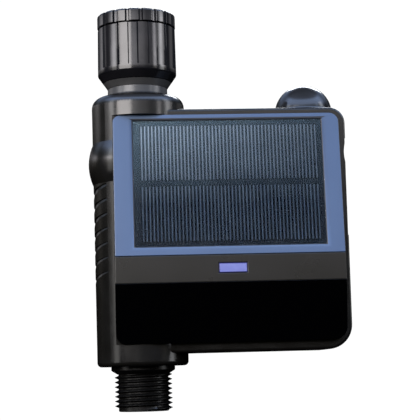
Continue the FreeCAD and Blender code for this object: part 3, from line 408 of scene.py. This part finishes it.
def make_ring():
    """The grooved ring above the nut, with the tap's female thread inside it."""
    low, high = box_mm("thread_adapter")
    bottom, top, radius = low.z, high.z, high.x
    bore, thread_depth, groove_depth = 12.45, 0.85, 0.8
    foot = top - 6.1

    def reach(angle, distance, height):
        if distance < 14:
            fade = smooth_step((top - height) / 2) * smooth_step((height - bottom) / 2)
            return distance + thread_depth * (1 - thread_ridge(height, angle)) * fade
        if distance > 17.9 and height > foot - 0.01:
            return distance - groove_depth * flat_groove(
                angle, count=18, turn=6, floor=1.3, mouth=3.6
            )
        return distance

    outline = [
        (bore, bottom),
        (16.55, bottom),
        (16.55, foot - 0.5),
        (16.05, foot),
        (18.55, foot),
        (18.74, foot + 0.08),
        (radius, foot + 0.3),
        (radius, top - 1),
        (18.74, top - 0.55),
        (18.5, top - 0.2),
        (18.1, top),
        (bore + 0.7, top),
    ]
    outline += [(bore, height) for height in levels(top - 0.7, bottom + 0.4, 64)]
    shape = shade_groove_walls(turned(outline, 540, reach), 17.5)
    show("inlet_ring", shape, "thread_adapter", (SLOT_OF["thread_adapter"], "rib_wall_painted_shade"))


def united(first, second):
    """One closed bmesh from two closed ones that overlap, without the slivers of their seam."""
    seam = 0.002 * MM
    things = []
    for shape in (first, second):
        bmesh.ops.recalc_face_normals(shape, faces=shape.faces)
        mesh = bpy.data.meshes.new("operand")
        shape.to_mesh(mesh)
        shape.free()
        thing = bpy.data.objects.new("operand", mesh)
        scene.collection.objects.link(thing)
        things.append(thing)
    union = things[0].modifiers.new("union", "BOOLEAN")
    union.operation = "UNION"
    union.solver = "EXACT"
    union.object = things[1]
    result = bmesh.new()
    result.from_object(things[0], bpy.context.evaluated_depsgraph_get())
    for thing in things:
        bpy.data.meshes.remove(thing.data)
    bmesh.ops.remove_doubles(result, verts=result.verts, dist=seam)
    bmesh.ops.triangulate(result, faces=result.faces)
    bmesh.ops.dissolve_degenerate(result, dist=seam, edges=result.edges)
    slivers = [
        face for face in result.faces if all(len(edge.link_faces) != 2 for edge in face.edges)
    ]
    bmesh.ops.delete(result, geom=slivers, context="FACES")
    return result


def wound_ridge(core, crest, start, turns):
    """A right-hand thread's ridge, wound upwards about the tube's axis and fading at both ends.

    The core and the crest are radii, and start is the height of its lower end, in millimetres.
    """
    per_turn, faded = 96, 24
    foot, tip = 0.41 * THREAD_PITCH, 0.04 * THREAD_PITCH
    shape = bmesh.new()
    steps = int(turns * per_turn)
    rows = []
    for step in range(steps + 1):
        angle = 2 * math.pi * step / per_turn
        height = start + THREAD_PITCH * step / per_turn
        fade = smooth_step(step / faded) * smooth_step((steps - step) / faded)
        reach = core + (crest - core) * (0.05 + 0.95 * fade)
        section = ((core, -foot), (reach, -tip), (reach, tip), (core, foot))
        rows.append([shape.verts.new(polar(angle, radius, height + up)) for radius, up in section])
    add_skin(shape, rows)
    return shape


def make_outlet():
    """The outlet pipe with its real right-hand thread."""
    low, high = box_mm("outlet_pipe")
    bottom, top = low.z, high.z
    root, crest, run = 11.75, 13.495, 17.3
    outline = [
        (9.0, bottom),
        (root - 0.3, bottom),
        (root, bottom + 0.3),
        (root, bottom + run),
        (12.25, bottom + run + 0.1),
        (14.7, bottom + 18.9),
        (14.95, bottom + 19.1),
        (15, bottom + 19.4),
        (15, bottom + 20.86),
        (11, bottom + 20.86),
        (11, top),
        (8.5, top),
        (8.5, bottom + 0.5),
    ]
    thread = wound_ridge(root - 0.1, crest, bottom + 0.96, turns=7.6)
    show("outlet_thread", united(turned(outline, 120), thread), "outlet_pipe")


def slope_axes(node):
    """A flat piece's top left corner on the sloping face, and the ways across, down and in."""
    points = [vertex.co for vertex in nodes[node].data.vertices]
    left = min(point.x for point in points)
    top = max(points, key=lambda point: point.z)
    foot = min(points, key=lambda point: point.y)
    down = Vector((0, foot.y - top.y, foot.z - top.z)).normalized()
    across = Vector((1, 0, 0))
    return Vector((left, top.y, top.z)), across, down, across.cross(down)


BAR_FACES = ((0, 1, 2, 3), (7, 6, 5, 4), (0, 4, 5, 1), (1, 5, 6, 2), (2, 6, 7, 3), (3, 7, 4, 0))


def add_bar(shape, axes, wide, tall, deep, finish_index=0):
    """A bar on the sloping face between pairs of millimetres, its front edges drawn in a little."""
    corner, across, down, inward = axes
    drawn_in = 0.25 * (deep[1] - deep[0])
    corners = []
    for depth, inset in ((deep[0], drawn_in), (deep[1], 0)):
        for u, v in (
            (wide[0] + inset, tall[0] + inset),
            (wide[1] - inset, tall[0] + inset),
            (wide[1] - inset, tall[1] - inset),
            (wide[0] + inset, tall[1] - inset),
        ):
            corners.append(shape.verts.new(corner + (across * u + down * v + inward * depth) * MM))
    for face in BAR_FACES:
        shape.faces.new([corners[index] for index in face]).material_index = finish_index


def make_bezel():
    """The blue frame. Its outer walls and those round its window get a near-black painted shade,
    standing in for the shadow in the gaps there.
    """
    shape = softened("solar_bezel", 0.5)
    shape.normal_update()
    low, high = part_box("solar_cells")
    margin = 3 * MM
    outward = -slope_axes("solar_cells")[3]
    for face in shape.faces:
        place = face.calc_center_median()
        by_window = (
            low.x - margin < place.x < high.x + margin
            and low.z - margin < place.z < high.z + margin
        )
        # walls turned away from the front get the painted shade
        if face.normal.dot(outward) < (0.96 if by_window else 0.9):
            face.material_index = 1
    show("bezel_frame", shape, "solar_bezel", ("bezel", "mitre_painted_shade"))


def make_cells():
    """Two rows of solar cells, each crossed by fine upright silver lines."""
    low, high = box_mm("solar_cells")
    axes = slope_axes("solar_cells")
    wide = high.x - low.x
    lines, pitch, line_width, first = 50, 1.665, 0.62, 0.7
    shape = bmesh.new()
    for top, bottom in ((0, 27), (29, 56)):
        add_bar(shape, axes, (0, wide), (top, bottom), (0.09, 0.15))
        for line in range(lines):
            start = first + line * pitch
            across = (start, start + line_width)
            add_bar(shape, axes, across, (top + 0.5, bottom - 0.5), (0.05, 0.1), 1)
    show("cell_rows", shape, "solar_cells", ("silicon", "finger"), smooth=False)


def make_lens():
    """The status window: a softly rounded pane whose dark blue border is a painted shade for the
    shadow in the gap round it.
    """
    shape = softened("led_lens", 0.45, 2)
    shape.normal_update()
    for face in shape.faces:
        face.material_index = 0 if abs(face.normal.y) > 0.98 else 1
    show("status_window", shape, "led_lens", ("lens", "lens_edge_painted_shade"))


def make_screen():
    """The inlet filter: woven wire in a pressed rim."""
    low, high = box_mm("filter_screen")
    radius = high.x
    middle = (low.z + high.z) / 2
    rim = [
        (radius - 1.2, low.z + 0.05),
        (radius - 0.1, low.z),
        (radius, middle),
        (radius - 0.1, high.z),
        (radius - 1.2, high.z - 0.05),
    ]
    shape = turned(rim, 72)
    wire, pitch, weave, steps = 0.11, 0.85, 0.09, 60
    section = ((-wire, 0), (0, wire), (wire, 0), (0, -wire))
    count = int((radius - 1) / pitch)
    for way in (0, 1):
        for line in range(-count, count + 1):
            offset = line * pitch
            reach = math.sqrt((radius - 0.8) ** 2 - offset ** 2)
            rows = []
            for along in levels(-reach, reach, steps):
                lift = weave * math.cos(math.pi * (along / pitch + line + way))
                row = []
                for side, up in section:
                    x, y = (along, offset + side) if way == 0 else (offset + side, along)
                    row.append(shape.verts.new((x * MM, y * MM, (middle + lift + up) * MM)))
                rows.append(row)
            add_skin(shape, rows)
    show("filter_mesh", shape, "filter_screen")


def make_spring():
    """The button's return spring as a wound wire, on a mesh of its own; the real spring shortens
    when the button is pressed.
    """
    low, high = box_mm("button_spring")
    centre = (low + high) / 2
    wire = 0.4
    radius = (high.x - low.x) / 2 - wire
    turns, steps, sides = 4.5, 220, 8
    tall = high.z - low.z - 2 * wire
    shape = bmesh.new()
    rows = []
    for step in range(steps + 1):
        share = step / steps
        angle = 2 * math.pi * turns * share
        # the end coils lie nearly flat, as on a ground spring
        height = low.z + wire + tall * (0.12 * share + 0.88 * smooth_step(share))
        row = []
        for side in range(sides):
            around = 2 * math.pi * side / sides
            distance = radius + wire * math.cos(around)
            x = centre.x + distance * math.cos(angle)
            y = centre.y + distance * math.sin(angle)
            row.append(shape.verts.new((x * MM, y * MM, (height + wire * math.sin(around)) * MM)))
        rows.append(row)
    add_skin(shape, rows)
    spring = show("return_spring", shape, "button_spring")
    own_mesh(spring)


make_nut()
make_ring()
make_outlet()
make_cells()
make_lens()
make_screen()
make_spring()
make_bezel()
show("fascia_band", softened("led_fascia", 0.4), "led_fascia")
show("gloss_cover", softened("lower_cover", 0.5), "lower_cover")
glass = show("window_glass", softened("solar_cover", 0.08, 2), "solar_cover")
glass.visible_shadow = False


# ---------------------------------------------------------------- camera and light

def make_camera():
    """A long lens close to the ground, looking a little up at the hanging timer."""
    target = Vector((33.47, 0.0, -94.64)) * MM
    azimuth, elevation, roll = (math.radians(angle) for angle in (-4.088, -6.676, 1.53))
    distance = 663.7 * MM
    back = Vector(
        (
            math.sin(azimuth) * math.cos(elevation),
            -math.cos(azimuth) * math.cos(elevation),
            math.sin(elevation),
        )
    )
    data = bpy.data.cameras.new("camera")
    data.sensor_width = 36
    data.lens = 118.9
    camera = bpy.data.objects.new("camera", data)
    scene.collection.objects.link(camera)
    right = (-back).cross(Vector((0, 0, 1))).normalized()
    up = right.cross(-back)
    tilted_right = right * math.cos(roll) - up * math.sin(roll)
    tilted_up = right * math.sin(roll) + up * math.cos(roll)
    turn = Matrix((tilted_right, tilted_up, back)).transposed()
    camera.matrix_world = Matrix.Translation(target + back * distance) @ turn.to_4x4()
    scene.camera = camera


def soft_light(name, place, target, size, power, colour):
    """A rectangular lamp that faces a target. Its power is in watts."""
    data = bpy.data.lights.new(name, "AREA")
    data.shape = "RECTANGLE"
    data.size, data.size_y = size
    data.energy = power
    data.color = colour
    light = bpy.data.objects.new(name, data)
    scene.collection.objects.link(light)
    aim = Vector(target) - Vector(place)
    light.location = place
    light.rotation_mode = "QUATERNION"
    light.rotation_quaternion = aim.to_track_quat("-Z", "Y")


def make_light():
    """A small warm lamp by the tube, an upright one on either side and a broad one behind."""
    tube, centre = (0.0, 0.0, -0.08), (0.03, 0.0, -0.09)
    pale_blue = (0.95, 0.97, 1.0)
    soft_light("front", (-0.27, -0.38, 0.03), tube, (0.3, 0.25), 2, (1.0, 0.95, 0.93))
    soft_light("left", (-1.2, -0.45, 0.15), centre, (0.35, 1.0), 2, (1.0, 0.98, 0.95))
    soft_light("right", (1.2, -0.3, 0.2), centre, (0.35, 1.0), 3, pale_blue)
    soft_light("back", (0.3, 1.1, 0.9), centre, (0.9, 0.5), 12, pale_blue)


# elevation in degrees, and the sky's colour there
SKY = [
    (-90, (0.0, 0.0, 0.0)),
    (-3, (0.0, 0.0, 0.0)),
    (3, (0.03, 0.03, 0.02)),
    (5, (0.20, 0.18, 0.15)),
    (8, (0.40, 0.37, 0.32)),
    (10.5, (0.85, 0.82, 0.78)),
    (12, (3.2, 3.1, 3.2)),
    (14.5, (3.4, 3.3, 3.5)),
    (16.5, (0.40, 0.42, 0.45)),
    (20, (0.40, 0.48, 0.60)),
    (26, (1.0, 1.2, 1.5)),
    (32, (2.1, 2.7, 4.1)),
    (48, (2.2, 3.0, 4.8)),
    (56, (0.6, 0.7, 1.0)),
    (90, (0.3, 0.35, 0.45)),
]
# the colour ramp holds shares of this
SKY_PEAK = 5.5

# azimuth in degrees, from the front towards the right, and the low sky's strength there
HORIZON = [
    (-180, 0.05),
    (-140, 0.6),
    (-120, 3.0),
    (-108, 0.08),
    (-94, 0.08),
    (-84, 0.9),
    (-72, 2.6),
    (-66, 2.6),
    (-62, 0.1),
    (-54, 0.4),
    (-46, 1.1),
    (-30, 1.3),
    (-8, 1.5),
    (2, 0.95),
    (18, 0.75),
    (30, 0.30),
    (42, 0.35),
    (46, 0.2),
    (52, 3.0),
    (57, 3.0),
    (60, 0.05),
    (70, 0.05),
    (76, 2.4),
    (90, 1.2),
    (95, 0.06),
    (108, 0.06),
    (118, 1.1),
    (150, 0.05),
    (180, 0.05),
]
# the azimuth's ramp holds shares of this
HORIZON_PEAK = 3.0
# degrees of elevation over which those strengths give way to an even sky
HORIZON_FADE = (22, 32)
# where the sky is, from -1 straight behind the timer to 1 in front, and its strength there
DEPTH = [(-1.0, 0.2), (-0.28, 0.2), (0.12, 1.0)]


def gradient(tree, value, stops):
    """A colour ramp through stops of (position from 0 to 1, colour)."""
    ramp = tree.nodes.new("ShaderNodeValToRGB")
    elements = ramp.color_ramp.elements
    while len(elements) < len(stops):
        elements.new(0.5)
    for element, (position, colour) in zip(elements, stops):
        element.position = position
        element.color = (*colour, 1)
    tree.links.new(value, ramp.inputs["Fac"])
    return ramp.outputs["Color"]


def remap(tree, value, start, end):
    """Maps a value between start and end onto 0 to 1."""
    node = tree.nodes.new("ShaderNodeMapRange")
    node.inputs["From Min"].default_value = start
    node.inputs["From Max"].default_value = end
    tree.links.new(value, node.inputs["Value"])
    return node.outputs["Result"]


def multiplied(tree, first, second):
    node = tree.nodes.new("ShaderNodeVectorMath")
    node.operation = "MULTIPLY"
    tree.links.new(first, node.inputs[0])
    tree.links.new(second, node.inputs[1])
    return node.outputs["Vector"]


def make_world():
    """White to the camera. What the timer reflects is an open sky above, and darkness below.

    Near the horizon the sky is lighter and darker by turns all round, and it is dim behind.
    """
    world = bpy.data.worlds.new("studio")
    scene.world = world
    world.use_nodes = True
    tree = world.node_tree
    tree.nodes.clear()
    links = tree.links
    place = tree.nodes.new("ShaderNodeTexCoord")
    split = tree.nodes.new("ShaderNodeSeparateXYZ")
    links.new(place.outputs["Generated"], split.inputs["Vector"])
    upward = split.outputs["Z"]
    sky_stops = [
        ((math.sin(math.radians(angle)) + 1) / 2, tuple(part / SKY_PEAK for part in colour))
        for angle, colour in SKY
    ]
    sky = gradient(tree, remap(tree, upward, -1, 1), sky_stops)
    forward = tree.nodes.new("ShaderNodeMath")
    forward.operation = "MULTIPLY"
    forward.inputs[1].default_value = -1
    links.new(split.outputs["Y"], forward.inputs[0])
    azimuth = tree.nodes.new("ShaderNodeMath")
    azimuth.operation = "ARCTAN2"
    links.new(split.outputs["X"], azimuth.inputs[0])
    links.new(forward.outputs["Value"], azimuth.inputs[1])
    around = gradient(
        tree,
        remap(tree, azimuth.outputs["Value"], -math.pi, math.pi),
        [((angle + 180) / 360, (strength / HORIZON_PEAK,) * 3) for angle, strength in HORIZON],
    )
    low = tree.nodes.new("ShaderNodeMix")
    low.data_type = "RGBA"
    start, end = (math.sin(math.radians(angle)) for angle in HORIZON_FADE)
    links.new(remap(tree, upward, start, end), low.inputs["Factor"])
    links.new(around, low.inputs["A"])
    low.inputs["B"].default_value = (*(1 / HORIZON_PEAK,) * 3, 1)
    dimming = gradient(
        tree,
        remap(tree, forward.outputs["Value"], -1, 1),
        [((depth + 1) / 2, (strength,) * 3) for depth, strength in DEPTH],
    )
    product = multiplied(tree, multiplied(tree, sky, low.outputs["Result"]), dimming)
    reflected = tree.nodes.new("ShaderNodeBackground")
    reflected.inputs["Strength"].default_value = SKY_PEAK * HORIZON_PEAK
    links.new(product, reflected.inputs["Color"])
    white = tree.nodes.new("ShaderNodeBackground")
    white.inputs["Color"].default_value = (1, 1, 1, 1)
    white.inputs["Strength"].default_value = 1.05
    rays = tree.nodes.new("ShaderNodeLightPath")
    mix = tree.nodes.new("ShaderNodeMixShader")
    out = tree.nodes.new("ShaderNodeOutputWorld")
    links.new(rays.outputs["Is Camera Ray"], mix.inputs["Fac"])
    links.new(reflected.outputs["Background"], mix.inputs[1])
    links.new(white.outputs["Background"], mix.inputs[2])
    links.new(mix.outputs["Shader"], out.inputs["Surface"])


def make_floor():
    """A pale round floor, far below the hanging timer so that it neither lights nor hides it."""
    mesh = bpy.data.meshes.new("floor")
    shape = bmesh.new()
    bmesh.ops.create_circle(shape, cap_ends=True, radius=1.5, segments=96)
    shape.to_mesh(mesh)
    shape.free()
    floor = bpy.data.objects.new("floor", mesh)
    floor.location = (0.03, 0.0, -1.0)
    scene.collection.objects.link(floor)
    mesh.materials.append(Surface("floor", (0.85, 0.85, 0.85), 0.8).grain(3, 0.05).material)
    floor.visible_diffuse = False
    floor.visible_glossy = False


make_camera()
make_light()
make_world()
make_floor()
